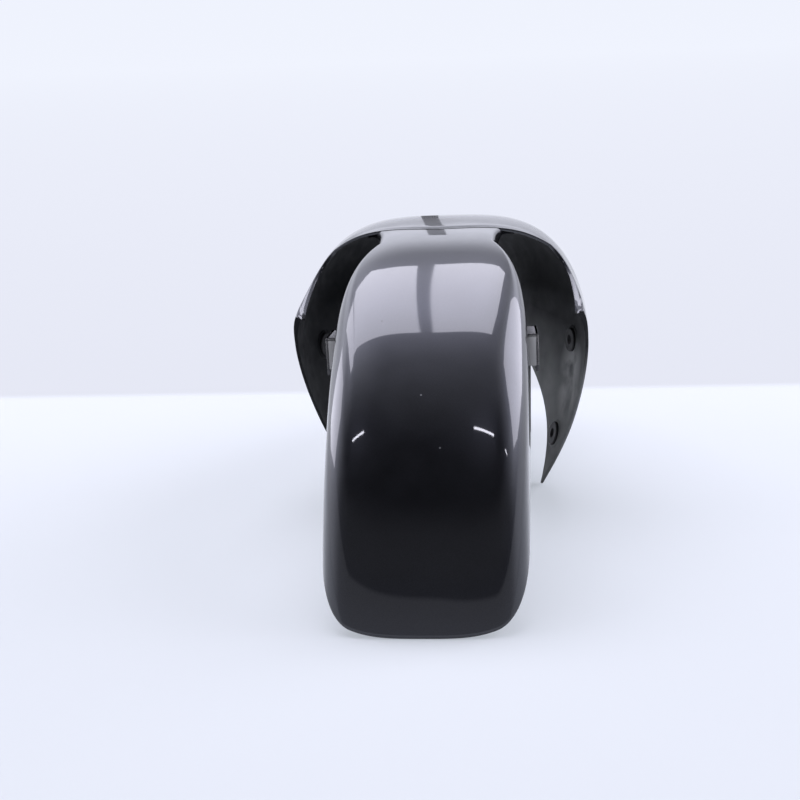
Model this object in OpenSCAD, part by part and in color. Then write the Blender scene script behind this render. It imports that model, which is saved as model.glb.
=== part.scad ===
// Motorcycle front mudguard: one moulded shell over a 17 inch front wheel, with a long tail,
// a narrow neck between the fork legs, and an arch whose two wings cover the front of the forks.
// Four rubber grommets sit in the wings. The shell stands on its tail and its two wing tips.

/* [Wheel arc] */
// Radius of the crown line about the wheel centre
arc_r = 330; // [310:5:350]
// Angle behind the top where the tail ends
tail_end = 76.5; // [72:0.5:80]
// Angle ahead of the top where the nose ends
nose_end = 50; // [44:1:56]

/* [Shell] */
// Thickness of the moulded wall
wall = 2.5; // [2:0.1:3]
// Height of the crease step across the saddle
crease_step = 1.2; // [0.8:0.1:1.6]
// Angle of the crease behind the top, on the centre line
crease_angle = 5.5; // [4.8:0.1:6.2]

/* [Tail] */
// Half width of the tail at its widest
tail_half_w = 78.5; // [75:0.5:81]
// Depth of the tail's side walls below the crown
tail_depth = 54; // [46:1:58]
// Radius of the tail's shoulders
tail_shoulder = 30; // [24:1:34]
// Draft of the tail's side walls
draft = 3; // [1:0.5:5]
// Slope of the cut across the end of the tail
end_cut = 45; // [42:1:48]

/* [Neck] */
// Half width of the neck between the fork legs
neck_half_w = 50.2; // [47:0.5:54]
// Angle of the neck behind the top
neck_angle = 10; // [9:0.5:11]
// Radius of the shoulders at the neck
neck_shoulder = 5; // [4:0.5:8]

/* [Arch] */
// Half width of the arch at its widest
arch_half_w = 128; // [124:0.5:132]
// Depth of the arch's rounded part below the crown
arch_depth = 95; // [90:1:102]

/* [Wings] */
// Angle behind the top of the wing's rear corner
corner_angle = 15; // [13:0.5:16]
// Angle ahead of the top of the wing's tip
tip_angle = 10; // [9:0.2:11]
// How far the wing leans inwards at its tip
tip_lean = 37; // [32:1:40]
// How far the wing's rear corner turns outwards
corner_out = 4.5; // [3:0.5:6]
// How much thicker the rim is at the rear corner
corner_rim = 2.5; // [1.5:0.5:3]

/* [Nose] */
// Half width of the nose
nose_half_w = 66; // [62:0.5:70]
// Depth of the nose's side walls below the crown
nose_depth = 62; // [56:1:68]
// Angle by which the nose's lower corners lie behind its end
nose_sweep = 7; // [4:0.5:10]

/* [Pads] */
// How far a pad stands out from the tail's side wall
pad_out = 7; // [6:0.5:10]
// Length of a pad along the tail
pad_length = 30; // [24:1:34]
// Height of a pad
pad_height = 31; // [28:1:34]
// Depth of a pad's middle below the crown line
pad_depth = 50; // [46:1:54]
// How much higher a pad's rear wall ends than its other walls
pad_mouth = 5; // [3:0.5:8]

/* [Grommets] */
// Diameter of the hole in the wing that holds a grommet
seat_d = 17; // [15:0.5:19]
// Diameter of the flat boss round each hole
boss_d = 27; // [26:0.5:30]
// Diameter of a grommet's flanges
flange_d = 22; // [21:0.5:24]
// Thickness of each flange
flange_t = 2.2; // [1.6:0.1:3]
// Diameter of the hole through a grommet
grommet_bore = 9; // [7:0.5:11]
// Thickness of the flat boss round each hole
boss_t = 4; // [3.6:0.1:5]
// Clearance between a grommet and what it grips
grip = 0.1; // [0.05:0.05:0.2]

/* [Hidden] */

// The length runs along Y about the origin, and the floor is at Z = 0.
length = arc_r * sin(tail_end) + (arc_r + crease_step) * sin(nose_end);
arc_y = arc_r * sin(tail_end) - length / 2;
arc_z = -arc_r * cos(tail_end);

function at(x, angle, depth) = let (r = arc_r - depth)
    [x, arc_y - r * sin(angle), arc_z + r * cos(angle)];
function mix(a, b, t) = a + (b - a) * t;
function ease(t) = let (u = min(1, max(0, t))) u * u * (3 - 2 * u);

// Section of the arch: half width and depth as shares of the whole, on a curve between
// an ellipse and a box. It also gives the crown of the tail.
SIDE_POWER = 3.4;
TOP_POWER = 1.55;
function share_x(d) = pow(1 - pow(max(0, 1 - d), TOP_POWER), 1 / SIDE_POWER);
function share_d(x) = 1 - pow(1 - pow(x, SIDE_POWER), 1 / TOP_POWER);
function crown_fall(x) = arch_depth * share_d(x / arch_half_w);
function crown_slope(x) = x < 1 ? 0 : atan(crown_fall(x + 0.5) - crown_fall(x - 0.5));

// Tail: the crown's half width, the shoulder's radius and the wall's depth at an angle.
full_angle = 50.5;
round_angle = 38;
under_angle = 1.2;
flare_w = 15;
flare_drop = 11;
FLARE_POWER = 3.5;
SWELL_POWER = 5.1;
function flare(a) = max(0, (neck_angle - a) / (neck_angle - under_angle));
function swell(a) = min(1, max(0, (a - neck_angle) / (full_angle - neck_angle)));
function tail_half(a) = mix(neck_half_w, tail_half_w, 1 - pow(1 - swell(a), SWELL_POWER))
    + flare_w * pow(flare(a), FLARE_POWER);
function tail_round(a) = mix(neck_shoulder, tail_shoulder, ease((a - neck_angle) / (round_angle - neck_angle)));
function tail_drop(a) = mix(flare_drop, tail_depth, ease((a - under_angle) / (2 * neck_angle)));

// A point of the tail's section, set in by inset from the outer face. Zone 0 is the crown,
// zone 1 the shoulder and zone 2 the side wall, and t runs across the zone.
function tail_section(a, zone, t, inset) =
    let (r = tail_round(a), s1 = 90 - draft, cx = tail_half(a) - r * sin(s1),
         s0 = crown_slope(cx + r * sin(crown_slope(cx))),
         x0 = cx + r * sin(s0), cd = crown_fall(x0) + r * cos(s0),
         s = zone == 0 ? crown_slope(x0 * t) : zone == 1 ? mix(s0, s1, t) : s1,
         base = zone == 0 ? [x0 * t, crown_fall(x0 * t)] : [cx + r * sin(s), cd - r * cos(s)],
         run = zone == 2 ? max(2, tail_drop(a) - base[1]) * t : 0)
    [base[0] + run * tan(draft) - inset * sin(s), base[1] + run + inset * cos(s)];

// Angle at which a depth reaches the slanted cut across the tail's end.
cut_r = arc_r * cos(tail_end - end_cut);
function cut_angle(depth) = end_cut + acos(min(1, cut_r / (arc_r - depth)));
free_angle = 24;
function tail_point(a, zone, t, inset) =
    let (p = tail_section(a, zone, t, inset),
         pull = max(0, (a - free_angle) / (tail_end - free_angle)))
    at(p[0], a - (tail_end - cut_angle(p[1])) * pull, p[1]);

TAIL_STEPS = 12;
NECK_STEPS = 8;
FLARE_STEPS = 7;
tail_angles = concat(
    [for (i = [0 : TAIL_STEPS - 1]) mix(tail_end, free_angle, i / TAIL_STEPS)],
    [for (i = [0 : NECK_STEPS - 1]) mix(free_angle, neck_angle, i / NECK_STEPS)],
    [for (i = [0 : FLARE_STEPS]) mix(neck_angle, under_angle, i / FLARE_STEPS)]);
CROWN_STEPS = 5;
SHOULDER_STEPS = 5;
SIDE_STEPS = 3;
tail_columns = concat(
    [for (i = [0 : CROWN_STEPS]) [0, i / CROWN_STEPS]],
    [for (i = [1 : SHOULDER_STEPS]) [1, i / SHOULDER_STEPS]],
    [for (i = [1 : SIDE_STEPS]) [2, i / SIDE_STEPS]]);
function tail_grid(inset) = [for (a = tail_angles)
    [for (c = tail_columns) tail_point(a, c[0], c[1], inset)]];

// Arch: plan half width by distance ahead of the wheel centre, and depth of its rounded part.
narrow_from = -21;
narrow_to = 165;
function ahead(angle, depth) = -(arc_r - depth) * sin(angle);
function arch_w(y) = mix(arch_half_w, nose_half_w, ease((y - narrow_from) / (narrow_to - narrow_from)));
nose_round = 0.75;
function arch_h(a) = mix(arch_depth, nose_depth * nose_round, ease((corner_angle - a) / (corner_angle + nose_end)));

// Wings: the lower edge runs from the tip, on the floor, up to the nose.
tip_depth = arc_r + crease_step - arc_r * cos(tail_end) / cos(tip_angle);
EDGE_POWER = 1.2;
function low_depth(a) = let (u = min(1, max(0, (-tip_angle - a) / (nose_end - tip_angle))))
    mix(nose_depth, tip_depth, pow(1 - u, EDGE_POWER));
lean_from = 95;
LEAN_POWER = 1.7;
function lean(depth) = tip_lean * pow(max(0, (depth - lean_from) / (tip_depth - lean_from)), LEAN_POWER);
TOP_DELAY = 55;
// Towards the rear corner the wall turns outwards a little and the rim grows thicker.
corner_share = 0.63;
UP_REACH = 58;
DOWN_REACH = 36;
CORNER_TURN = 16;
function corner_part(a, depth, up, down, turn) = let (low = depth - corner_share * arch_depth)
    ease(1 + min(low / up, -low / down)) * ease(1 - (corner_angle - a) / turn);
function wing_x(a, depth) = let (share = depth / arch_h(a))
    arch_w(ahead(a, depth) - TOP_DELAY * max(0, 1 - share)) * share_x(share)
    + corner_out * corner_part(a, depth, UP_REACH, DOWN_REACH, CORNER_TURN) - lean(depth);
RIM_REACH = 32;
RIM_TURN = 3;
function arch_wall(a, depth) = wall + corner_rim * corner_part(a, depth, RIM_REACH, RIM_REACH, RIM_TURN);

// The rear rim: the crease across the saddle, a curve over the fork, and a straight rear edge
// from the corner to the tip. Each column starts there and ends at the nose.
rim_angle = 0.4;
rim_share = 0.3;
CREASE_POWER = 1.8;
corner_r = arc_r - corner_share * arch_depth;
tip_r = arc_r - tip_depth;
edge_tilt = atan((corner_r * cos(corner_angle) - tip_r * cos(tip_angle))
    / (-tip_r * sin(tip_angle) - corner_r * sin(corner_angle)));
edge_r = corner_r * cos(corner_angle - edge_tilt);
function edge_angle(depth) = edge_tilt + acos(edge_r / (arc_r - depth));
function crease_at(d) = mix(crease_angle, rim_angle, pow(share_x(d) / share_x(rim_share), CREASE_POWER));

SADDLE_STEPS = 8;
RIM_STEPS = 8;
WING_STEPS = 10;
// Each column is its share of depth, its start angle and, on the wing, its share of the drop.
arch_columns = concat(
    [for (i = [0 : SADDLE_STEPS - 1]) let (d = rim_share * pow(i / SADDLE_STEPS, 2)) [d, crease_at(d), -1]],
    [for (i = [0 : RIM_STEPS - 1]) let (q = 90 * i / RIM_STEPS)
        [mix(rim_share, corner_share, sin(q)), mix(rim_angle, corner_angle, 1 - cos(q)), -1]],
    [for (i = [0 : WING_STEPS]) let (k = i / WING_STEPS)
        [corner_share, edge_angle(mix(corner_share * arch_depth, tip_depth, k)), k]]);
function column_depth(c, a) = let (top = c[0] * arch_h(a))
    c[2] < 0 ? top : mix(top, low_depth(a), c[2]);
function nose_angle(c) = -nose_end + nose_sweep * pow(c[2] < 0 ? c[0] / 2 : mix(corner_share / 2, 1, c[2]), 1.5);

SLOPE_STEP = 0.5;
function wing_slope(a, depth) = atan2(2 * SLOPE_STEP,
    wing_x(a, depth + SLOPE_STEP) - wing_x(a, max(0, depth - SLOPE_STEP)));
function arch_point(c, s, inner) =
    let (a = mix(c[1], nose_angle(c), s), depth = column_depth(c, a),
         slope = depth < 0.01 ? 0 : wing_slope(a, depth), inset = inner * arch_wall(a, depth))
    at(depth < 0.01 ? 0 : wing_x(a, depth) - inset * sin(slope), a, depth - crease_step + inset * cos(slope));

ARCH_STEPS = 20;
ROW_POWER = 1.15;
function row_share(i) = pow(i / ARCH_STEPS, ROW_POWER);
function arch_grid(inner) = [for (i = [0 : ARCH_STEPS])
    [for (c = arch_columns) arch_point(c, row_share(i), inner)]];

// A sheet closed round both its faces, from half grids of its outer and inner points.
module sheet(outer, inner) {
    rows = len(outer);
    half = len(outer[0]);
    cols = 2 * half - 1;
    count = rows * cols;
    full = function (g) [for (r = g) for (j = [1 - half : half - 1])
        let (p = r[abs(j)]) [j < 0 ? -p[0] : p[0], p[1], p[2]]];
    quad = function (a, b, c, d) [[a, b, c], [a, c, d]];
    faces = concat(
        [for (i = [0 : rows - 2]) for (j = [0 : cols - 2]) let (k = i * cols + j)
            each quad(k, k + cols, k + cols + 1, k + 1)],
        [for (i = [0 : rows - 2]) for (j = [0 : cols - 2]) let (k = count + i * cols + j)
            each quad(k, k + 1, k + cols + 1, k + cols)],
        [for (j = [0 : cols - 2]) each quad(j, j + 1, count + j + 1, count + j)],
        [for (j = [0 : cols - 2]) let (k = (rows - 1) * cols + j)
            each quad(k, count + k, count + k + 1, k + 1)],
        [for (i = [0 : rows - 2]) let (k = i * cols) each quad(k, count + k, count + k + cols, k + cols)],
        [for (i = [0 : rows - 2]) let (k = i * cols + cols - 1)
            each quad(k, k + cols, count + k + cols, count + k)]);
    polyhedron(points = concat(full(outer), full(inner)), faces = faces);
}

// Pads: hollow boxes on the side walls of the tail, open at the bottom. Each follows the wall.
PAD_ANGLE = 28.3;
PAD_SINK = 2.2;
PAD_STEP = 3;
function side_x(a) = let (p = tail_section(a, 2, 0, 0)) p[0] + (pad_depth - p[1]) * tan(draft);
pad_place = at(side_x(PAD_ANGLE), PAD_ANGLE, pad_depth);
pad_turn = atan((side_x(PAD_ANGLE + PAD_STEP) - side_x(PAD_ANGLE - PAD_STEP))
    / (at(0, PAD_ANGLE - PAD_STEP, pad_depth)[1] - at(0, PAD_ANGLE + PAD_STEP, pad_depth)[1]));
module pad() {
    skew = pad_height / 2 * tan(draft);
    inside = pad_out - wall;
    low = -pad_height / 2;
    translate(pad_place)
    rotate([0, 0, pad_turn])
    difference() {
        rotate([90, 0, 0])
        linear_extrude(pad_length, center = true)
        polygon([[-PAD_SINK - skew, -low], [pad_out, -low], [pad_out, low], [skew - PAD_SINK, low]]);
        translate([inside / 2 - skew / 2, 0, -wall])
        cube([inside - skew, pad_length - 2 * wall, pad_height], center = true);
        translate([inside / 2 - skew / 2, -pad_length / 2, low])
        cube([inside - skew, 3 * wall, 2 * pad_mouth], center = true);
    }
}

// Grommet places on a wing: angle and depth of the hole's middle.
UPPER = [-6.8, 117];
LOWER = [-9.4, 206];
function wing_point(p) = at(wing_x(p[0], p[1]), p[0], p[1] - crease_step);
function wing_normal(p) = let (
    u = wing_point(p + [SLOPE_STEP, 0]) - wing_point(p - [SLOPE_STEP, 0]),
    v = wing_point(p + [0, SLOPE_STEP]) - wing_point(p - [0, SLOPE_STEP]),
    n = cross(u, v)) n / norm(n);
module on_wing(p) {
    n = wing_normal(p);
    translate(wing_point(p) - n * wall / 2)
    rotate([0, acos(n[2]), atan2(n[1], n[0])])
    children();
}

ROUND_FN = 32;
module boss(p) {
    on_wing(p)
    cylinder(h = boss_t, d = boss_d, center = true, $fn = ROUND_FN);
}
spot_d = flange_d + 1;
module seat(p) {
    on_wing(p) {
        cylinder(h = 2 * boss_t, d = seat_d, center = true, $fn = ROUND_FN);
        for (side = [-1, 1])
            translate([0, 0, side * boss_t])
            cylinder(h = boss_t, d = spot_d, center = true, $fn = ROUND_FN);
    }
}
module both_sides() {
    children();
    mirror([1, 0, 0])
    children();
}

module mudguard_shell() {
    color("dimgray")
    difference() {
        union() {
            sheet(tail_grid(0), tail_grid(wall));
            sheet(arch_grid(0), arch_grid(1));
            both_sides() {
                pad();
                boss(UPPER);
                boss(LOWER);
            }
        }
        both_sides() {
            seat(UPPER);
            seat(LOWER);
        }
    }
}

// A grommet: two flanges, and a groove that grips the edge of the boss.
lip = flange_t / 3;
module grommet(p) {
    groove_h = boss_t / 2 + grip;
    end_h = groove_h + flange_t;
    bore_r = grommet_bore / 2;
    groove_r = seat_d / 2 - grip;
    flange_r = flange_d / 2;
    on_wing(p)
    rotate_extrude($fn = ROUND_FN)
    polygon([[bore_r, -end_h], [flange_r - lip, -end_h], [flange_r, lip - end_h], [flange_r, -groove_h],
        [groove_r, -groove_h], [groove_r, groove_h], [flange_r, groove_h], [flange_r, end_h - lip],
        [flange_r - lip, end_h], [bore_r, end_h]]);
}
module grommet_upper_right() {
    color("black")
    grommet(UPPER);
}
module grommet_lower_right() {
    color("black")
    grommet(LOWER);
}
module grommet_upper_left() {
    color("black")
    mirror([1, 0, 0])
    grommet(UPPER);
}
module grommet_lower_left() {
    color("black")
    mirror([1, 0, 0])
    grommet(LOWER);
}

mudguard_shell();
grommet_upper_left();
grommet_upper_right();
grommet_lower_left();
grommet_lower_right();
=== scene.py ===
"""Motorcycle front mudguard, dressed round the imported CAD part.

The shell is rebuilt as a fine, smooth skin from the same dimensions as the CAD part: paint outside,
raw plastic inside and rounded edges. The CAD grommets stay and get a rubber finish.
The form is worked out in millimetres and degrees, in the part's frame: +Y forward, +Z up.
"""

import math

import bmesh
import bpy
from mathutils import Matrix, Vector


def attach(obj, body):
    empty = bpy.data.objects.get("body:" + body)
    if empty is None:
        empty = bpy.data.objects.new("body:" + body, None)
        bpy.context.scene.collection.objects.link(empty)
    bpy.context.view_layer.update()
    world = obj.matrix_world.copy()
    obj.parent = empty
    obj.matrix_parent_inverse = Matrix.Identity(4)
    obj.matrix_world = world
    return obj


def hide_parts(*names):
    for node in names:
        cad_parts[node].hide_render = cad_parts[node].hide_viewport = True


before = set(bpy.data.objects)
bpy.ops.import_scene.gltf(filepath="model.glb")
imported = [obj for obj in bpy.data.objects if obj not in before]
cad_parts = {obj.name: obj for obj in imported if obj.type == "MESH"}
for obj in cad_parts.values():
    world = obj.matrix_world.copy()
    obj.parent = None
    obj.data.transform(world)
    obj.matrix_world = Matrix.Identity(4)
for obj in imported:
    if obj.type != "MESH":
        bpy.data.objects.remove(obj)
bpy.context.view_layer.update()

MM = 0.001

# Wheel arc, shell and crease.
ARC_R, TAIL_END, NOSE_END = 330, 76.5, 50
WALL, CREASE_STEP, CREASE_ANGLE, CREASE_POWER = 2.5, 1.2, 5.5, 1.8
SIDE_POWER, TOP_POWER = 3.4, 1.55

# Tail, neck and the short flare under the saddle.
TAIL_HALF_W, TAIL_DEPTH, TAIL_SHOULDER, DRAFT, END_CUT = 78.5, 54, 30, 3, 45
NECK_HALF_W, NECK_ANGLE, NECK_SHOULDER = 50.2, 10, 5
FULL_ANGLE, ROUND_ANGLE, FREE_ANGLE, UNDER_ANGLE = 50.5, 38, 24, 1.2
FLARE_W, FLARE_DROP, FLARE_POWER, SWELL_POWER = 15, 7, 3.5, 5.1

# Arch, wings and nose.
ARCH_HALF_W, ARCH_DEPTH = 128, 95
CORNER_ANGLE, CORNER_SHARE, TIP_ANGLE, TIP_LEAN = 15, 0.63, 10, 37
CORNER_OUT, CORNER_TURN, UP_REACH, DOWN_REACH = 4.5, 16, 58, 36
CORNER_RIM, RIM_TURN, RIM_REACH = 2.5, 3, 32
RIM_ANGLE, RIM_SHARE = 0.4, 0.3
NARROW_FROM, NARROW_TO, TOP_DELAY = -21, 165, 55
LEAN_FROM, LEAN_POWER, EDGE_POWER = 95, 1.7, 1.2
NOSE_HALF_W, NOSE_DEPTH, NOSE_SWEEP, NOSE_ROUND = 66, 62, 7, 0.75

# Pads on the tail's side walls.
PAD_OUT, PAD_LENGTH, PAD_HEIGHT, PAD_DEPTH, PAD_MOUTH = 7, 30, 31, 50, 5
PAD_ANGLE, PAD_SINK = 28.3, 2.2

PAD_BEVEL, PAD_SPAN = 0.4, 3

# Bosses and holes for the grommets: angle and depth of a wing's upper and lower hole.
BOSS_D, BOSS_T, BOSS_LIP, SEAT_D = 27, 4, 0.5, 17
HOLES = [(-6.8, 117), (-9.4, 206)]

# Rows and columns of the tail and the arch.
TAIL_ROWS, CROWN_COLS, SHOULDER_COLS, SIDE_COLS = 130, 26, 20, 12
SADDLE_COLS, RIM_COLS, WING_COLS, ARCH_ROWS, ROW_POWER = 30, 24, 34, 96, 1.35

# Edges: the rounded rims, the saddle's dip into the crown and the rolled rear corners.
RIM_STEPS, RIM_BULGE, PAINTED_FROM = 6, 0.8, 0.8
CREASE_RUN, SINK_EXTRA, SINK_POWER, SINK_FADE = 8, 0.05, 1.3, 5
ROLL_RUN, ROLL_IN, ROLL_LEAST, ROLL_COLS = 15, 6.5, 0.2, 16

# Material slots of the skin.
# The pads' grey has two slots: a lighter copy with painted light and a darker copy with painted shade.
PAINT, RAW, PAD_LIGHT_SLOT, PAD_SHADE_SLOT = 0, 1, 2, 3


def sin(a):
    return math.sin(math.radians(a))


def cos(a):
    return math.cos(math.radians(a))


def tan(a):
    return math.tan(math.radians(a))


def acos(v):
    return math.degrees(math.acos(max(-1, min(1, v))))


def atan2(y, x):
    return math.degrees(math.atan2(y, x))


def mix(a, b, t):
    return a + (b - a) * t


def clamp(t):
    return min(1, max(0, t))


def ease(t):
    t = clamp(t)
    return t * t * (3 - 2 * t)


LENGTH = ARC_R * sin(TAIL_END) + (ARC_R + CREASE_STEP) * sin(NOSE_END)
ARC_Y = ARC_R * sin(TAIL_END) - LENGTH / 2
ARC_Z = -ARC_R * cos(TAIL_END)
TIP_DEPTH = ARC_R + CREASE_STEP - ARC_R * cos(TAIL_END) / cos(TIP_ANGLE)


def at(x, angle, depth):
    """The point at an angle behind the top and a depth under the crown's arc."""
    r = ARC_R - depth
    return Vector((x, ARC_Y - r * sin(angle), ARC_Z + r * cos(angle)))


def share_x(d):
    return (1 - max(0, 1 - d) ** TOP_POWER) ** (1 / SIDE_POWER)


def share_d(x):
    return 1 - (1 - x**SIDE_POWER) ** (1 / TOP_POWER)


def crown_fall(x):
    return ARCH_DEPTH * share_d(x / ARCH_HALF_W)


def crown_slope(x):
    return 0 if x < 1 else atan2(crown_fall(x + 0.5) - crown_fall(x - 0.5), 1)


# Tail.


def tail_half(a):
    flare = max(0, (NECK_ANGLE - a) / (NECK_ANGLE - UNDER_ANGLE))
    swell = clamp((a - NECK_ANGLE) / (FULL_ANGLE - NECK_ANGLE))
    width = mix(NECK_HALF_W, TAIL_HALF_W, 1 - (1 - swell) ** SWELL_POWER)
    return width + FLARE_W * flare**FLARE_POWER


def tail_round(a):
    return mix(NECK_SHOULDER, TAIL_SHOULDER, ease((a - NECK_ANGLE) / (ROUND_ANGLE - NECK_ANGLE)))


def tail_drop(a):
    return mix(FLARE_DROP, TAIL_DEPTH, ease((a - UNDER_ANGLE) / (2 * NECK_ANGLE)))


def tail_section(a, zone, t, inset=0):
    """Half width and depth across the crown (zone 0), the shoulder (1) and the side wall (2)."""
    r, s1 = tail_round(a), 90 - DRAFT
    cx = tail_half(a) - r * sin(s1)
    s0 = crown_slope(cx + r * sin(crown_slope(cx)))
    x0 = cx + r * sin(s0)
    cd = crown_fall(x0) + r * cos(s0)
    if zone == 0:
        s, x, d = crown_slope(x0 * t), x0 * t, crown_fall(x0 * t)
    else:
        s = mix(s0, s1, t) if zone == 1 else s1
        x, d = cx + r * sin(s), cd - r * cos(s)
    run = max(2, tail_drop(a) - d) * t if zone == 2 else 0
    return x + run * tan(DRAFT) - inset * sin(s), d + run + inset * cos(s)


def tail_point(a, zone, t, inset):
    """A point of the tail. Towards its end the rows turn into the slanted cut."""
    x, d = tail_section(a, zone, t, inset)
    cut = END_CUT + acos(ARC_R * cos(TAIL_END - END_CUT) / (ARC_R - d))
    pull = max(0, (a - FREE_ANGLE) / (TAIL_END - FREE_ANGLE))
    return at(x, a - (TAIL_END - cut) * pull, d)


def tail_grid(inset):
    angles = [mix(TAIL_END, UNDER_ANGLE, i / TAIL_ROWS) for i in range(TAIL_ROWS + 1)]
    places = [(0, i / CROWN_COLS) for i in range(CROWN_COLS + 1)]
    places += [(1, i / SHOULDER_COLS) for i in range(1, SHOULDER_COLS + 1)]
    places += [(2, i / SIDE_COLS) for i in range(1, SIDE_COLS + 1)]
    return [[tail_point(a, zone, t, inset) for zone, t in places] for a in angles]


# Arch and wings.


def arch_w(ahead):
    return mix(ARCH_HALF_W, NOSE_HALF_W, ease((ahead - NARROW_FROM) / (NARROW_TO - NARROW_FROM)))


def arch_h(a):
    fade = ease((CORNER_ANGLE - a) / (CORNER_ANGLE + NOSE_END))
    return mix(ARCH_DEPTH, NOSE_DEPTH * NOSE_ROUND, fade)


def low_depth(a):
    u = clamp((-TIP_ANGLE - a) / (NOSE_END - TIP_ANGLE))
    return mix(NOSE_DEPTH, TIP_DEPTH, (1 - u) ** EDGE_POWER)


def corner_part(a, depth, up, down, turn):
    """1 at the wing's rear corner, fading to 0 over a reach up and down and a turn ahead."""
    low = depth - CORNER_SHARE * ARCH_DEPTH
    return ease(1 + min(low / up, -low / down)) * ease(1 - (CORNER_ANGLE - a) / turn)


def wing_x(a, depth):
    share = depth / arch_h(a)
    ahead = -(ARC_R - depth) * sin(a) - TOP_DELAY * max(0, 1 - share)
    lean = TIP_LEAN * max(0, (depth - LEAN_FROM) / (TIP_DEPTH - LEAN_FROM)) ** LEAN_POWER
    out = CORNER_OUT * corner_part(a, depth, UP_REACH, DOWN_REACH, CORNER_TURN)
    return arch_w(ahead) * share_x(share) + out - lean


def arch_wall(a, depth):
    return WALL + CORNER_RIM * corner_part(a, depth, RIM_REACH, RIM_REACH, RIM_TURN)


CORNER_R, TIP_R = ARC_R - CORNER_SHARE * ARCH_DEPTH, ARC_R - TIP_DEPTH
EDGE_TILT = atan2(
    TIP_R * cos(TIP_ANGLE) - CORNER_R * cos(CORNER_ANGLE),
    TIP_R * sin(TIP_ANGLE) + CORNER_R * sin(CORNER_ANGLE),
)


def edge_angle(depth):
    """Angle of the wing's straight rear edge at a depth."""
    return EDGE_TILT + acos(CORNER_R * cos(CORNER_ANGLE - EDGE_TILT) / (ARC_R - depth))


def arch_columns():
    """Each column is its share of depth, its start angle and, on a wing, its share of the drop."""
    edge = share_x(RIM_SHARE)
    columns = []
    for i in range(SADDLE_COLS):
        t = i / SADDLE_COLS
        columns.append((share_d(edge * t), mix(CREASE_ANGLE, RIM_ANGLE, t**CREASE_POWER), None))
    for i in range(RIM_COLS):
        q = 90 * i / RIM_COLS
        columns.append((mix(RIM_SHARE, CORNER_SHARE, sin(q)), mix(RIM_ANGLE, CORNER_ANGLE, 1 - cos(q)), None))
    for k in [0, 0.003] + [i / WING_COLS for i in range(1, WING_COLS + 1)]:
        depth = mix(CORNER_SHARE * ARCH_DEPTH, TIP_DEPTH, k)
        columns.append((CORNER_SHARE, edge_angle(depth), k))
    return columns


def arch_point(column, t, inner):
    share, start, drop = column
    low = share / 2 if drop is None else mix(CORNER_SHARE / 2, 1, drop)
    a = mix(start, NOSE_SWEEP * low**1.5 - NOSE_END, t)
    depth = share * arch_h(a)
    if drop is not None:
        depth = mix(depth, low_depth(a), drop)
    if depth < 0.01:
        return at(wing_x(a, depth), a, inner * WALL - CREASE_STEP)
    inset = inner * arch_wall(a, depth)
    slope = atan2(1, wing_x(a, depth + 0.5) - wing_x(a, max(0, depth - 0.5)))
    return at(wing_x(a, depth) - inset * sin(slope), a, depth - CREASE_STEP + inset * cos(slope))


def arch_grid(inner):
    columns, shares = arch_columns(), [(i / ARCH_ROWS) ** ROW_POWER for i in range(ARCH_ROWS + 1)]
    return [[arch_point(column, share, inner) for column in columns] for share in shares]


def wing_place(angle, depth):
    """Middle and outward normal of a hole on the right wing."""

    def surface(a, d):
        return at(wing_x(a, d), a, d - CREASE_STEP)

    along = surface(angle + 0.5, depth) - surface(angle - 0.5, depth)
    down = surface(angle, depth + 0.5) - surface(angle, depth - 0.5)
    normal = along.cross(down).normalized()
    return surface(angle, depth) - normal * WALL / 2, normal


# Meshes.


def mirrored(grid):
    """A full-width grid from one half."""
    flip = Vector((-1, 1, 1))
    return [[p * flip for p in row[:0:-1]] + row for row in grid]


class Build:
    """Points and faces of one mesh, in millimetres."""

    def __init__(self):
        self.points, self.faces, self.slots = [], [], []

    def add(self, points):
        start = len(self.points)
        self.points += points
        return start

    def face(self, ids, slot):
        self.faces.append(ids)
        self.slots.append(slot)

    def mesh(self, name):
        mesh = bpy.data.meshes.new(name)
        mesh.from_pydata([p * MM for p in self.points], [], self.faces)
        for polygon, slot in zip(mesh.polygons, self.slots):
            polygon.material_index = slot
            polygon.use_smooth = True
        work = bmesh.new()
        work.from_mesh(mesh)
        bmesh.ops.recalc_face_normals(work, faces=work.faces)
        work.to_mesh(mesh)
        work.free()
        return mesh


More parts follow.
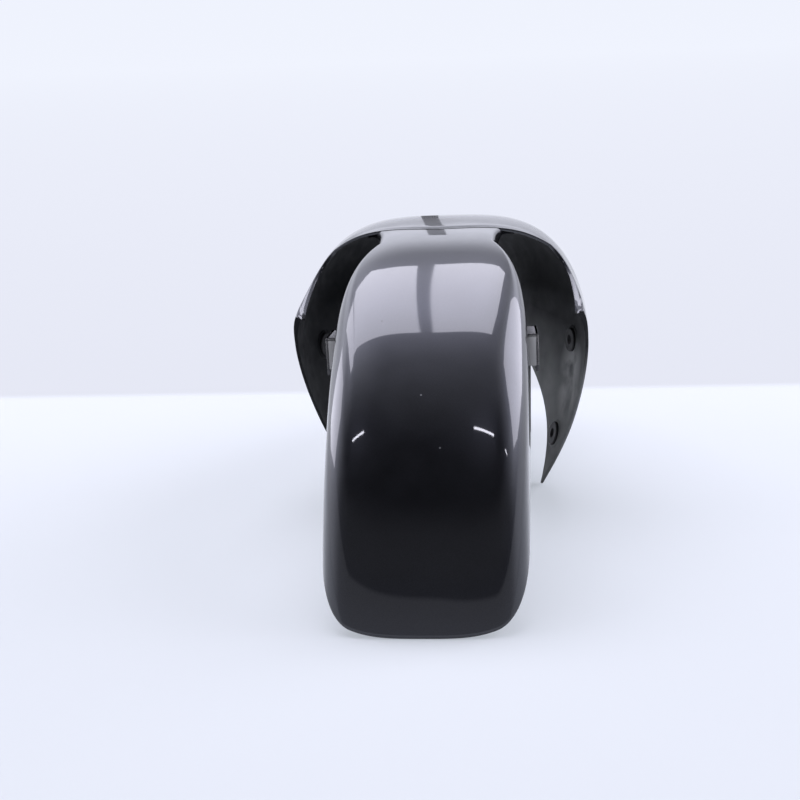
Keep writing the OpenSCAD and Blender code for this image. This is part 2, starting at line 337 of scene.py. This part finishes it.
def sheet(build, outer, inner, painted_rim):
    """A moulded sheet: painted outer face, raw inner face and a rounded rim between them."""
    rows, cols = len(outer), len(outer[0])
    loop = [(0, j) for j in range(cols)] + [(i, cols - 1) for i in range(1, rows)]
    loop += [(rows - 1, j) for j in range(cols - 2, -1, -1)] + [(i, 0) for i in range(rows - 2, 0, -1)]
    away = {}
    for i, j in loop:
        di = -1 if i == 0 else 1 if i == rows - 1 else 0
        dj = -1 if j == 0 else 1 if j == cols - 1 else 0
        away[i, j] = (outer[i][j] - outer[i - di][j - dj]).normalized()
    rim = []
    for i, j in loop:
        middle, half = (outer[i][j] + inner[i][j]) / 2, (outer[i][j] - inner[i][j]) / 2
        back = middle - away[i, j] * RIM_BULGE
        for k in range(1, RIM_STEPS):
            q = 180 * k / RIM_STEPS
            rim.append(back + half * cos(q) + away[i, j] * RIM_BULGE * sin(q))
    for i, j in loop:
        outer[i][j] = outer[i][j] - away[i, j] * RIM_BULGE
        inner[i][j] = inner[i][j] - away[i, j] * RIM_BULGE
    top = build.add([p for row in outer for p in row])
    under = build.add([p for row in inner for p in row])
    edge = build.add(rim)
    for i in range(rows - 1):
        for j in range(cols - 1):
            a = i * cols + j
            build.face([top + a, top + a + 1, top + a + cols + 1, top + a + cols], PAINT)
            build.face([under + a, under + a + cols, under + a + cols + 1, under + a + 1], RAW)
    step = RIM_STEPS - 1

    def rung(n, k):
        i, j = loop[n]
        if k in (0, RIM_STEPS):
            return (top if k == 0 else under) + i * cols + j
        return edge + n * step + k - 1

    for n in range(len(loop)):
        m = (n + 1) % len(loop)
        painted = painted_rim(*loop[n])
        for k in range(RIM_STEPS):
            slot = PAINT if k < painted else RAW
            build.face([rung(n, k), rung(n, k + 1), rung(m, k + 1), rung(m, k)], slot)


def lathe(build, profile, middle, normal, slot, steps=64):
    """A ring turned from (radius, height) points about an axis through middle."""
    turn = normal.to_track_quat("Z", "Y").to_matrix()
    points = []
    for k in range(steps):
        q = 360 * k / steps
        points += [middle + turn @ Vector((r * cos(q), r * sin(q), h)) for r, h in profile]
    start, n = build.add(points), len(profile)
    for k in range(steps):
        m = (k + 1) % steps
        for i in range(n):
            j = (i + 1) % n
            build.face([start + k * n + i, start + m * n + i, start + m * n + j, start + k * n + j], slot)


def bevelled_box(build, low, high, place, slot):
    """A box with chamfered edges, from corner to corner, moved by a 4x4 place."""
    points, ids = [], {}
    corners = [(low[0], high[0]), (low[1], high[1]), (low[2], high[2])]
    for sx in (0, 1):
        for sy in (0, 1):
            for sz in (0, 1):
                side = (sx, sy, sz)
                for axis in range(3):
                    cut = [0 if k == axis else PAD_BEVEL * (2 * side[k] - 1) for k in range(3)]
                    ids[side, axis] = len(points)
                    points.append(place @ Vector([corners[k][side[k]] - cut[k] for k in range(3)]))
    start = build.add(points)
    for axis in range(3):
        u, v = (axis + 1) % 3, (axis + 2) % 3
        for s in (0, 1):
            ring = []
            for a, b in ((0, 0), (1, 0), (1, 1), (0, 1)):
                side = [0, 0, 0]
                side[axis], side[u], side[v] = s, a, b
                ring.append(start + ids[tuple(side), axis])
            build.face(ring if s else ring[::-1], slot)
        for a in (0, 1):
            for b in (0, 1):
                ends = []
                for s in (0, 1):
                    side = [0, 0, 0]
                    side[axis], side[u], side[v] = s, a, b
                    ends.append(tuple(side))
                ring = [ids[ends[0], u], ids[ends[1], u], ids[ends[1], v], ids[ends[0], v]]
                ring = [start + k for k in ring]
                build.face(ring if a == b else ring[::-1], slot)
    for sx in (0, 1):
        for sy in (0, 1):
            for sz in (0, 1):
                ring = [start + ids[(sx, sy, sz), k] for k in range(3)]
                build.face(ring if (sx + sy + sz) % 2 else ring[::-1], slot)


def pad(build, side):
    """A hollow box on a side wall of the tail, open at the bottom, with a shorter rear wall."""

    def wall_x(a):
        x, d = tail_section(a, 2, 0)
        return x + (PAD_DEPTH - d) * tan(DRAFT)

    near_end, far_end = PAD_ANGLE - PAD_SPAN, PAD_ANGLE + PAD_SPAN
    run = at(0, near_end, PAD_DEPTH).y - at(0, far_end, PAD_DEPTH).y
    turn = math.atan2(wall_x(far_end) - wall_x(near_end), run)
    place = Matrix.Translation(at(wall_x(PAD_ANGLE), PAD_ANGLE, PAD_DEPTH)) @ Matrix.Rotation(turn, 4, "Z")
    place = Matrix.Scale(side, 4, (1, 0, 0)) @ place
    length, height = PAD_LENGTH / 2, PAD_HEIGHT / 2
    # The outer plate and the top take the dark pad grey, painted shade; the rear wall takes the raised pad grey,
    # painted light.
    boxes = [
        ((PAD_OUT - WALL, -length, -height), (PAD_OUT, length, height), PAD_SHADE_SLOT),
        ((-PAD_SINK, length - WALL, -height), (PAD_OUT, length, height), RAW),
        ((-PAD_SINK, -length, PAD_MOUTH - height), (PAD_OUT, WALL - length, height), PAD_LIGHT_SLOT),
        ((-PAD_SINK, -length, height - WALL), (PAD_OUT, length, height), PAD_SHADE_SLOT),
    ]
    for low, high, slot in boxes:
        bevelled_box(build, low, high, place, slot)


def boss(build, middle, normal):
    """The flat ring round a hole."""
    inner, outer, half, lip = SEAT_D / 2, BOSS_D / 2, BOSS_T / 2, BOSS_LIP
    profile = [(inner, -half), (outer - lip, -half), (outer, lip - half)]
    profile += [(outer, half - lip), (outer - lip, half), (inner, half)]
    lathe(build, profile, middle, normal, RAW)


def both_wings():
    """Middle and outward normal of every hole, on both wings."""
    for angle, depth in HOLES:
        middle, normal = wing_place(angle, depth)
        for side in (1, -1):
            flip = Vector((side, 1, 1))
            yield middle * flip, normal * flip


def tail_rim(i, j):
    """How many steps of the tail's rim are painted: half of them at its end, all of them on the flare."""
    if i == 0:
        return RIM_STEPS // 2
    return RIM_STEPS if i > PAINTED_FROM * TAIL_ROWS else 0


def arch_rim(i, j):
    """The arch's rim is painted from the crease round to the wings' rear corners."""
    column = abs(j - len(arch_columns()) + 1)
    return RIM_STEPS if i == 0 and column < SADDLE_COLS + RIM_COLS - 1 else 0


def softened(outer, inner):
    """The saddle's rear edge dips into the tail's crown, and the wings' rear corners roll inwards."""
    middle = len(outer[0]) // 2
    axis = Vector((0, ARC_Y, ARC_Z))
    for i in range(len(outer)):
        for j in range(len(outer[0])):
            run = (outer[i][j] - outer[0][j]).length
            column = abs(j - middle)
            if run < CREASE_RUN and column < SADDLE_COLS:
                fade = ease((SADDLE_COLS - column) / SINK_FADE)
                sink = (CREASE_STEP + SINK_EXTRA) * (1 - run / CREASE_RUN) ** SINK_POWER * fade
                radial = outer[i][j] - axis
                radial.x = 0
                outer[i][j] = outer[i][j] - radial.normalized() * sink
                inner[i][j] = inner[i][j] - radial.normalized() * sink
            rise = max(ROLL_LEAST, 1 - (SADDLE_COLS + RIM_COLS - column) / ROLL_COLS)
            if run < ROLL_RUN * rise and SADDLE_COLS <= column <= SADDLE_COLS + RIM_COLS:
                through = inner[i][j] - outer[i][j]
                roll = ROLL_IN * rise * (1 - run / (ROLL_RUN * rise)) ** 2
                outer[i][j] = outer[i][j] + through.normalized() * roll
                inner[i][j] = inner[i][j] + through.normalized() * max(0, roll + WALL - through.length)


def arch_mesh():
    """The arch, opened at its four holes. The cut edges lie inside the bosses."""
    build = Build()
    outer, inner = mirrored(arch_grid(0)), mirrored(arch_grid(1))
    softened(outer, inner)
    sheet(build, outer, inner, arch_rim)
    reach = (SEAT_D + BOSS_D) / 4
    for middle, normal in both_wings():
        kept = []
        for ids, slot in zip(build.faces, build.slots):
            offset = sum((build.points[k] for k in ids), Vector()) / len(ids) - middle
            if offset.length > BOSS_D or (offset - normal * offset.dot(normal)).length > reach:
                kept.append((ids, slot))
        build.faces, build.slots = [k[0] for k in kept], [k[1] for k in kept]
    return build.mesh("arch")


def joined(name, meshes, materials):
    """One object from several meshes, which share a list of materials."""
    parts = []
    for mesh in meshes:
        for material in materials:
            mesh.materials.append(material)
        part = bpy.data.objects.new(name, mesh)
        bpy.context.collection.objects.link(part)
        parts.append(part)
    bpy.ops.object.select_all(action="DESELECT")
    for part in parts:
        part.select_set(True)
    bpy.context.view_layer.objects.active = parts[0]
    bpy.ops.object.join()
    return parts[0]


# Materials: colours, points in millimetres and heights in millimetres.

PAINT_DARK, PAINT_LIGHT = (0.026, 0.027, 0.033, 1), (0.036, 0.037, 0.045, 1)
SPECK_DARK, SPECK_LIGHT = (0.004, 0.004, 0.004, 1), (0.35, 0.36, 0.38, 1)
SPECKS = [
    ((-36.6, -137.2, 204.3), SPECK_DARK),
    ((-2.4, -195.9, 160.1), SPECK_LIGHT),
    ((12.9, -225.4, 127.4), SPECK_LIGHT),
]
SPECK_R, SPECK_SOFT = 0.5, 0.4
# Raw plastic colours. The lighter one stands for dust and for painted light from the floor below the wings.
RAW_DARK, RAW_DUST_AND_LIGHT, RAW_SMEAR = (0.013, 0.014, 0.016, 1), (0.5, 0.515, 0.495, 1), (0.8, 0.81, 0.78, 1)
# Pad greys: the light pair is raised to stand for light the rear faces lack (painted light); the dark one is painted
# shade on the top and outer plate.
PAD_GREY_PAINTED_LIGHT, PAD_DUST_AND_LIGHT, PAD_PAINTED_SHADE = (0.68, 0.68, 0.66, 1), (0.72, 0.72, 0.7, 1), (0.17, 0.17, 0.175, 1)
RUBBER_DARK, RUBBER_BLOOM = (0.007, 0.007, 0.008, 1), (0.016, 0.016, 0.017, 1)
# Heights in millimetres over which the raw colour lightens downwards, for dust and painted light, and the small
# share of it that the left wing gets.
DUST_AND_LIGHT_TOP, DUST_AND_LIGHT_LOW, DUST_AND_LIGHT_LEAST, LEFT_WING_LIGHT_SHARE = 150, 95, 0.08, 0.07
# Painted shade near the wing tips: under these heights in millimetres the lighter colour fades to the given share.
TIP_TOP, TIP_LOW, TIP_SHADE_SHARE = 65, 30, 0.55
SCUFFED, SCUFF_R, SCUFF_SOFT = [(119, 50, 108), (117, 48, 90)], 8, 26


def new_material(name):
    material = bpy.data.materials.new(name)
    material.use_nodes = True
    return material, material.node_tree, material.node_tree.nodes["Principled BSDF"]


def node(tree, kind, inputs=(), **settings):
    """A node with its settings, its constant inputs and its links."""
    n = tree.nodes.new(kind)
    for key, value in settings.items():
        setattr(n, key, value)
    for key, value in dict(inputs).items():
        if isinstance(value, bpy.types.NodeSocket):
            tree.links.new(value, n.inputs[key])
        else:
            n.inputs[key].default_value = value
    return n


def place_output(tree):
    return node(tree, "ShaderNodeTexCoord").outputs["Object"]


def split_output(tree, vector):
    return node(tree, "ShaderNodeSeparateXYZ", {0: vector}).outputs


def noise(tree, scale, detail=3):
    """Values round 0.5 of a noise in the object's own space; scale is in cells a metre."""
    inputs = {"Vector": place_output(tree), "Scale": scale, "Detail": detail}
    return node(tree, "ShaderNodeTexNoise", inputs).outputs["Fac"]


def remap(tree, value, from_low, from_high, low, high, **settings):
    inputs = {"Value": value, "From Min": from_low, "From Max": from_high, "To Min": low, "To Max": high}
    return node(tree, "ShaderNodeMapRange", inputs, clamp=True, **settings).outputs["Result"]


def remap_smooth(tree, value, from_low, from_high, low, high):
    return remap(tree, value, from_low, from_high, low, high, interpolation_type="SMOOTHSTEP")


def blend(tree, kind, fac, first, second):
    """A mix of two colours (kind Color) or of two numbers (kind Float)."""
    n = node(tree, "ShaderNodeMix", data_type="RGBA" if kind == "Color" else "FLOAT")
    sockets = {s.identifier: s for s in n.inputs}
    for key, value in (("Factor_Float", fac), (f"A_{kind}", first), (f"B_{kind}", second)):
        if isinstance(value, bpy.types.NodeSocket):
            tree.links.new(value, sockets[key])
        else:
            sockets[key].default_value = value
    return next(s for s in n.outputs if s.identifier == f"Result_{kind}")


def blend_colour(tree, fac, first, second):
    return blend(tree, "Color", fac, first, second)


def near(tree, point, radius, soft):
    """1 within a radius of a point in millimetres, fading to 0 over the soft distance."""
    offset = node(tree, "ShaderNodeVectorMath", {0: place_output(tree), 1: Vector(point) * MM}, operation="DISTANCE")
    return remap(tree, offset.outputs["Value"], (radius + soft) * MM, radius * MM, 0, 1)


def math_node(tree, operation, a, b):
    return node(tree, "ShaderNodeMath", {0: a, 1: b}, operation=operation).outputs[0]


def bump(tree, height, strength, distance):
    inputs = {"Height": height, "Strength": strength, "Distance": distance}
    return node(tree, "ShaderNodeBump", inputs).outputs["Normal"]


def paint_material():
    """Dark anthracite metallic under a clear coat, with fine flake and a few specks of dust."""
    material, tree, shader = new_material("anthracite_metallic")
    flake = remap(tree, noise(tree, 2600, detail=1), 0.3, 0.7, 0, 1)
    colour = blend_colour(tree, flake, PAINT_DARK, PAINT_LIGHT)
    for point, speck in SPECKS:
        colour = blend_colour(tree, near(tree, point, SPECK_R, SPECK_SOFT), colour, speck)
    tree.links.new(colour, shader.inputs["Base Color"])
    shader.inputs["Metallic"].default_value = 0.95
    tree.links.new(remap(tree, noise(tree, 60), 0.3, 0.7, 0.28, 0.34), shader.inputs["Roughness"])
    shader.inputs["Coat Weight"].default_value = 1
    shader.inputs["Coat Roughness"].default_value = 0.035
    shader.inputs["Coat IOR"].default_value = 1.5
    tree.links.new(bump(tree, noise(tree, 420, detail=1), 0.05, 0.0001), shader.inputs["Normal"])
    return material


def raw_material(name, dark, dust_and_light):
    """Raw moulded plastic with grain and a smear, lighter downwards for dust and painted light from the floor, the
    painted light mostly on the right wing, and painted shade near the wing tips.
    """
    material, tree, shader = new_material(name)
    smear = remap(tree, noise(tree, 38, detail=6), 0.36, 0.54, 0, 1)
    scuffed = 0
    for point in SCUFFED:
        scuffed = math_node(tree, "MAXIMUM", scuffed, near(tree, point, SCUFF_R, SCUFF_SOFT))
    place = split_output(tree, place_output(tree))
    # Lighter downwards: dust, and painted light standing for the floor's light and reflection.
    dust_and_light_mask = remap(tree, place["Z"], DUST_AND_LIGHT_TOP * MM, DUST_AND_LIGHT_LOW * MM, DUST_AND_LIGHT_LEAST, 1)
    for share in (
        # Far less on the left wing: the right wing's extra lightness is painted light from the left window.
        remap(tree, place["X"], -0.02, 0.02, LEFT_WING_LIGHT_SHARE, 1),
        # Painted shade near the wing tips, for the shadow under the part that they reflect.
        remap(tree, place["Z"], TIP_LOW * MM, TIP_TOP * MM, TIP_SHADE_SHARE, 1),
        remap(tree, noise(tree, 24, detail=5), 0.3, 0.7, 0.55, 1),
    ):
        dust_and_light_mask = math_node(tree, "MULTIPLY", dust_and_light_mask, share)
    colour = blend_colour(tree, dust_and_light_mask, dark, dust_and_light)
    colour = blend_colour(tree, math_node(tree, "MULTIPLY", smear, scuffed), colour, RAW_SMEAR)
    tree.links.new(colour, shader.inputs["Base Color"])
    tree.links.new(remap(tree, noise(tree, 90), 0.3, 0.7, 0.6, 0.75), shader.inputs["Roughness"])
    shader.inputs["Specular IOR Level"].default_value = 0.12
    tree.links.new(bump(tree, noise(tree, 1500, detail=2), 0.12, 0.0002), shader.inputs["Normal"])
    return material


def rubber_material():
    """Matt black rubber with a dusty bloom."""
    material, tree, shader = new_material("black_rubber")
    bloom = remap(tree, noise(tree, 140, detail=5), 0.45, 0.7, 0, 0.5)
    colour = blend_colour(tree, bloom, RUBBER_DARK, RUBBER_BLOOM)
    tree.links.new(colour, shader.inputs["Base Color"])
    tree.links.new(remap(tree, noise(tree, 200), 0.3, 0.7, 0.55, 0.7), shader.inputs["Roughness"])
    tree.links.new(bump(tree, noise(tree, 1200, detail=2), 0.15, 0.0002), shader.inputs["Normal"])
    return material


# The shell, in one piece, and the grommets.

tail_build = Build()
sheet(tail_build, mirrored(tail_grid(0)), mirrored(tail_grid(WALL)), tail_rim)
detail_build = Build()
for side in (1, -1):
    pad(detail_build, side)
for middle, normal in both_wings():
    boss(detail_build, middle, normal)

skins = [
    paint_material(),
    raw_material("raw_black_plastic", RAW_DARK, RAW_DUST_AND_LIGHT),
    # Pad grey with painted light on the rear faces, and a darker copy with painted shade on the tops and outer
    # plates.
    raw_material("grey_plastic_painted_light", PAD_GREY_PAINTED_LIGHT, PAD_DUST_AND_LIGHT),
    raw_material("grey_plastic_painted_shade", PAD_PAINTED_SHADE, PAD_PAINTED_SHADE),
]
shell = joined("mudguard_skin", [tail_build.mesh("tail"), arch_mesh(), detail_build.mesh("details")], skins)
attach(shell, "root")
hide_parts("mudguard_shell")

rubber = rubber_material()
for name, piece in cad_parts.items():
    if name.startswith("grommet"):
        for material_slot in piece.material_slots:
            material_slot.material = rubber


# Floor, lights and camera.

FLOOR_COLOUR, FAR_COLOUR = (0.38, 0.387, 0.4, 1), (0.02, 0.02, 0.02, 1)
NEAR_GLOW, SEAM_GLOW, FAR_GLOW = (0.34, 0.365, 0.4, 1), (0.76, 0.78, 0.88, 1), (0.86, 0.89, 0.98, 1)
FLOOR_SEAM_Y, SEAM_SOFT, FLOOR_FAR_Y, FLOOR_SIZE = 0.365, 0.01, 6, 60


def add_plane(name, size):
    """A square on the ground. Its object space runs from -0.5 to 0.5."""
    bpy.ops.mesh.primitive_plane_add(size=1)
    plane = bpy.context.object
    plane.name = name
    plane.scale = (size, size, 1)
    return plane


def seen_by_eye_or_gloss(tree):
    """1 for camera, glossy and transmission rays, 0 for those that carry light."""
    rays = node(tree, "ShaderNodeLightPath").outputs
    seen = math_node(tree, "MAXIMUM", rays["Is Camera Ray"], rays["Is Glossy Ray"])
    return math_node(tree, "MAXIMUM", seen, rays["Is Transmission Ray"])


def floor_material():
    """A pale floor: part of its brightness is its own, so that it stays even, and the rest is light."""
    material, tree, shader = new_material("pale_floor")
    y = split_output(tree, place_output(tree))["Y"]
    seam_start, seam_end = (FLOOR_SEAM_Y - SEAM_SOFT) / FLOOR_SIZE, (FLOOR_SEAM_Y + SEAM_SOFT) / FLOOR_SIZE
    beyond = remap(tree, y, seam_start, seam_end, 0, 1)
    away = remap(tree, y, FLOOR_SEAM_Y / FLOOR_SIZE, FLOOR_FAR_Y / FLOOR_SIZE, 0, 1)
    glow = blend_colour(tree, beyond, NEAR_GLOW, blend_colour(tree, away, SEAM_GLOW, FAR_GLOW))
    colour = blend_colour(tree, beyond, FLOOR_COLOUR, FAR_COLOUR)
    tree.links.new(colour, shader.inputs["Base Color"])
    tree.links.new(glow, shader.inputs["Emission Color"])
    tree.links.new(seen_by_eye_or_gloss(tree), shader.inputs["Emission Strength"])
    shader.inputs["Roughness"].default_value = 0.6
    shader.inputs["Specular IOR Level"].default_value = 0
    return material


def panel(name, corners, radiance):
    """A flat lamp or card of any outline and an even radiance, unseen by the camera."""
    material = bpy.data.materials.new(name)
    material.use_nodes = True
    tree = material.node_tree
    tree.nodes.clear()
    glow = node(tree, "ShaderNodeEmission", {"Color": LAMP_COLOUR, "Strength": radiance})
    node(tree, "ShaderNodeOutputMaterial", {"Surface": glow.outputs[0]})
    mesh = bpy.data.meshes.new(name)
    mesh.from_pydata(corners, [], [list(range(len(corners)))])
    mesh.materials.append(material)
    lamp = bpy.data.objects.new(name, mesh)
    lamp.visible_camera = False
    bpy.context.collection.objects.link(lamp)
    return lamp


floor = add_plane("floor", FLOOR_SIZE)
floor.data.materials.append(floor_material())

# Outlines of the lamps in metres: ceiling panels as (x, y), windows in the walls as (y, z),
# strips as the two ends (x, y, x, y) and the card that darkens a line in the gloss as (x, z).
LAMP_COLOUR = (0.95, 0.945, 1.07, 1)
CEILING = 4
CEILING_LEFT = [(-0.36, 0.42), (-2.56, 0.46), (-2.43, 1.6), (-2.33, 2.9), (-1.64, 3.5), (-1.12, 3.28), (-0.5, 3.17)]
CEILING_RIGHT = [(-0.31, 0.41), (0.9, 0.46), (1.05, 1.11), (1.13, 1.7), (1.26, 3.14), (0.95, 3.4), (-0.4, 3.22)]
STRIPS = [(-2.52, -2.12, -1.72, -2.02), (0.5, -2.08, 1.51, -2.18), (4.2, -1.93, 5.1, -1.84)]
STRIP_WIDTH = 0.07
WALL_X = 2.5
WINDOW_LEFT = [(0.1, 3.3), (1.44, 1.92), (1.59, 2.18), (1.82, 2.75), (2.29, 3.64), (2.5, 3.93), (0.15, 3.93)]
WINDOW_LOW = [(0.1, 1.6), (0.14, 0.75), (1.1, 0.3), (1.75, 0.17), (1.6, 0.6), (1.45, 1.35), (0.5, 1.85)]
WINDOW_RIGHT = [(-0.1, 1.2), (0.42, 0.88), (0.94, 0.7), (1.72, 0.5), (2.12, 0.62), (2.4, 1.17), (2.3, 3.9)]
WINDOW_RIGHT += [(0.2, 3.95), (-0.08, 2.7)]
CEILING_LIGHT, STRIP_LIGHT, LEFT_LIGHT, LOW_LIGHT, RIGHT_LIGHT = 5.6, 22, 5.6, 4.6, 5.3
CARD, CARD_Y, CARD_LIGHT = [(-0.38, 0), (-0.31, 0), (-0.31, 2.3), (-0.39, 2.3)], 4, 0.1

panel("ceiling_left", [(x, y, CEILING) for x, y in CEILING_LEFT], CEILING_LIGHT)
panel("ceiling_right", [(x, y, CEILING) for x, y in CEILING_RIGHT], CEILING_LIGHT)
for i, (x0, y0, x1, y1) in enumerate(STRIPS):
    strip = [(x0, y0), (x1, y1), (x1, y1 + STRIP_WIDTH), (x0, y0 + STRIP_WIDTH)]
    panel(f"strip_{i}", [(x, y, CEILING) for x, y in strip], STRIP_LIGHT)
panel("window_left", [(-WALL_X, y, z) for y, z in WINDOW_LEFT], LEFT_LIGHT)
panel("window_low", [(-WALL_X, y, z) for y, z in WINDOW_LOW], LOW_LIGHT)
panel("window_right", [(WALL_X, y, z) for y, z in WINDOW_RIGHT], RIGHT_LIGHT)
card = panel("dark_card", [(x, CARD_Y, z) for x, z in CARD], CARD_LIGHT)
card.visible_diffuse = False
card.visible_shadow = False

WORLD_COLOUR, WORLD_LIGHT = (0.9, 0.92, 1.04, 1), 0.33
BACK_GLOW, AHEAD_GLOW, BAND_RISE, BAND_FALL = 0.08, 0.9, 2.25, 0.25
HORIZON_GLOW, HORIZON_LEAN, SIDE_GLOW, WALL_GLOW, OVER_GLOW = 0.45, 0.13, 0.65, 0.8, 0.25


def studio_world():
    """A plain room. Gloss sees it pale ahead and along the horizon, dim overhead, dark behind."""
    world = bpy.data.worlds.new("studio")
    world.use_nodes = True
    tree = world.node_tree
    shader = tree.nodes["Background"]
    x, y, z = split_output(tree, node(tree, "ShaderNodeTexCoord").outputs["Generated"])
    wide = math_node(tree, "ABSOLUTE", x, 0)
    ahead = remap_smooth(tree, y, -0.4, 0.5, BACK_GLOW, AHEAD_GLOW)
    for low_z, high_z, change in ((0.2, 0.42, BAND_RISE), (0.5, 0.68, BAND_FALL)):
        ahead = math_node(tree, "MULTIPLY", ahead, remap_smooth(tree, z, low_z, high_z, 1, change))
    wall = remap_smooth(tree, z, 0.45, 0.8, 0, WALL_GLOW)
    wall = math_node(tree, "MULTIPLY", wall, remap_smooth(tree, wide, 0.2, 0.45, 0, 1))
    wall = math_node(tree, "MULTIPLY", wall, remap_smooth(tree, y, -0.35, 0.15, 0, 1))
    over = math_node(tree, "ADD", wall, remap_smooth(tree, z, 0.86, 1, 0, OVER_GLOW))
    side = remap_smooth(tree, y, -0.5, 0.1, 0, SIDE_GLOW)
    side = math_node(tree, "MULTIPLY", side, remap_smooth(tree, wide, 0.15, 0.5, 0, 1))
    level = math_node(tree, "SUBTRACT", z, remap(tree, x, 0, -1, 0, HORIZON_LEAN))
    low = remap_smooth(tree, level, 0.245, 0.2, 0, 1)
    low = math_node(tree, "MULTIPLY", low, math_node(tree, "ADD", side, HORIZON_GLOW))
    glow = math_node(tree, "MAXIMUM", math_node(tree, "ADD", ahead, over), low)
    strength = blend(tree, "Float", seen_by_eye_or_gloss(tree), WORLD_LIGHT, glow)
    shader.inputs["Color"].default_value = WORLD_COLOUR
    tree.links.new(strength, shader.inputs["Strength"])
    return world


bpy.context.scene.world = studio_world()

# The camera stands about a metre behind the tail and looks down on it.
FOCAL, FRAME_PX, SENSOR = 1500, 800, 36
YAW, PITCH, ROLL = 6.3, 16.5, -2.7
CAMERA_DISTANCE, CAMERA_HEIGHT, CAMERA_SHIFT = 1003, 481, 8.5
level = Vector((-sin(YAW), cos(YAW), 0))
right = Vector((cos(YAW), sin(YAW), 0))
ahead = level * cos(PITCH) - Vector((0, 0, sin(PITCH)))
down = -level * sin(PITCH) - Vector((0, 0, cos(PITCH)))
across = right * cos(ROLL) - down * sin(ROLL)
up = -(down * cos(ROLL) + right * sin(ROLL))
eye = Vector((0, -LENGTH / 2, CAMERA_HEIGHT)) - level * CAMERA_DISTANCE - right * CAMERA_SHIFT

lens = bpy.data.cameras.new("camera")
lens.sensor_width = SENSOR
lens.lens = FOCAL / FRAME_PX * SENSOR
camera = bpy.data.objects.new("camera", lens)
camera.matrix_world = Matrix.Translation(eye * MM) @ Matrix((across, up, -ahead)).transposed().to_4x4()
bpy.context.collection.objects.link(camera)
bpy.context.scene.camera = camera
bpy.context.scene.view_settings.view_transform = "Standard"
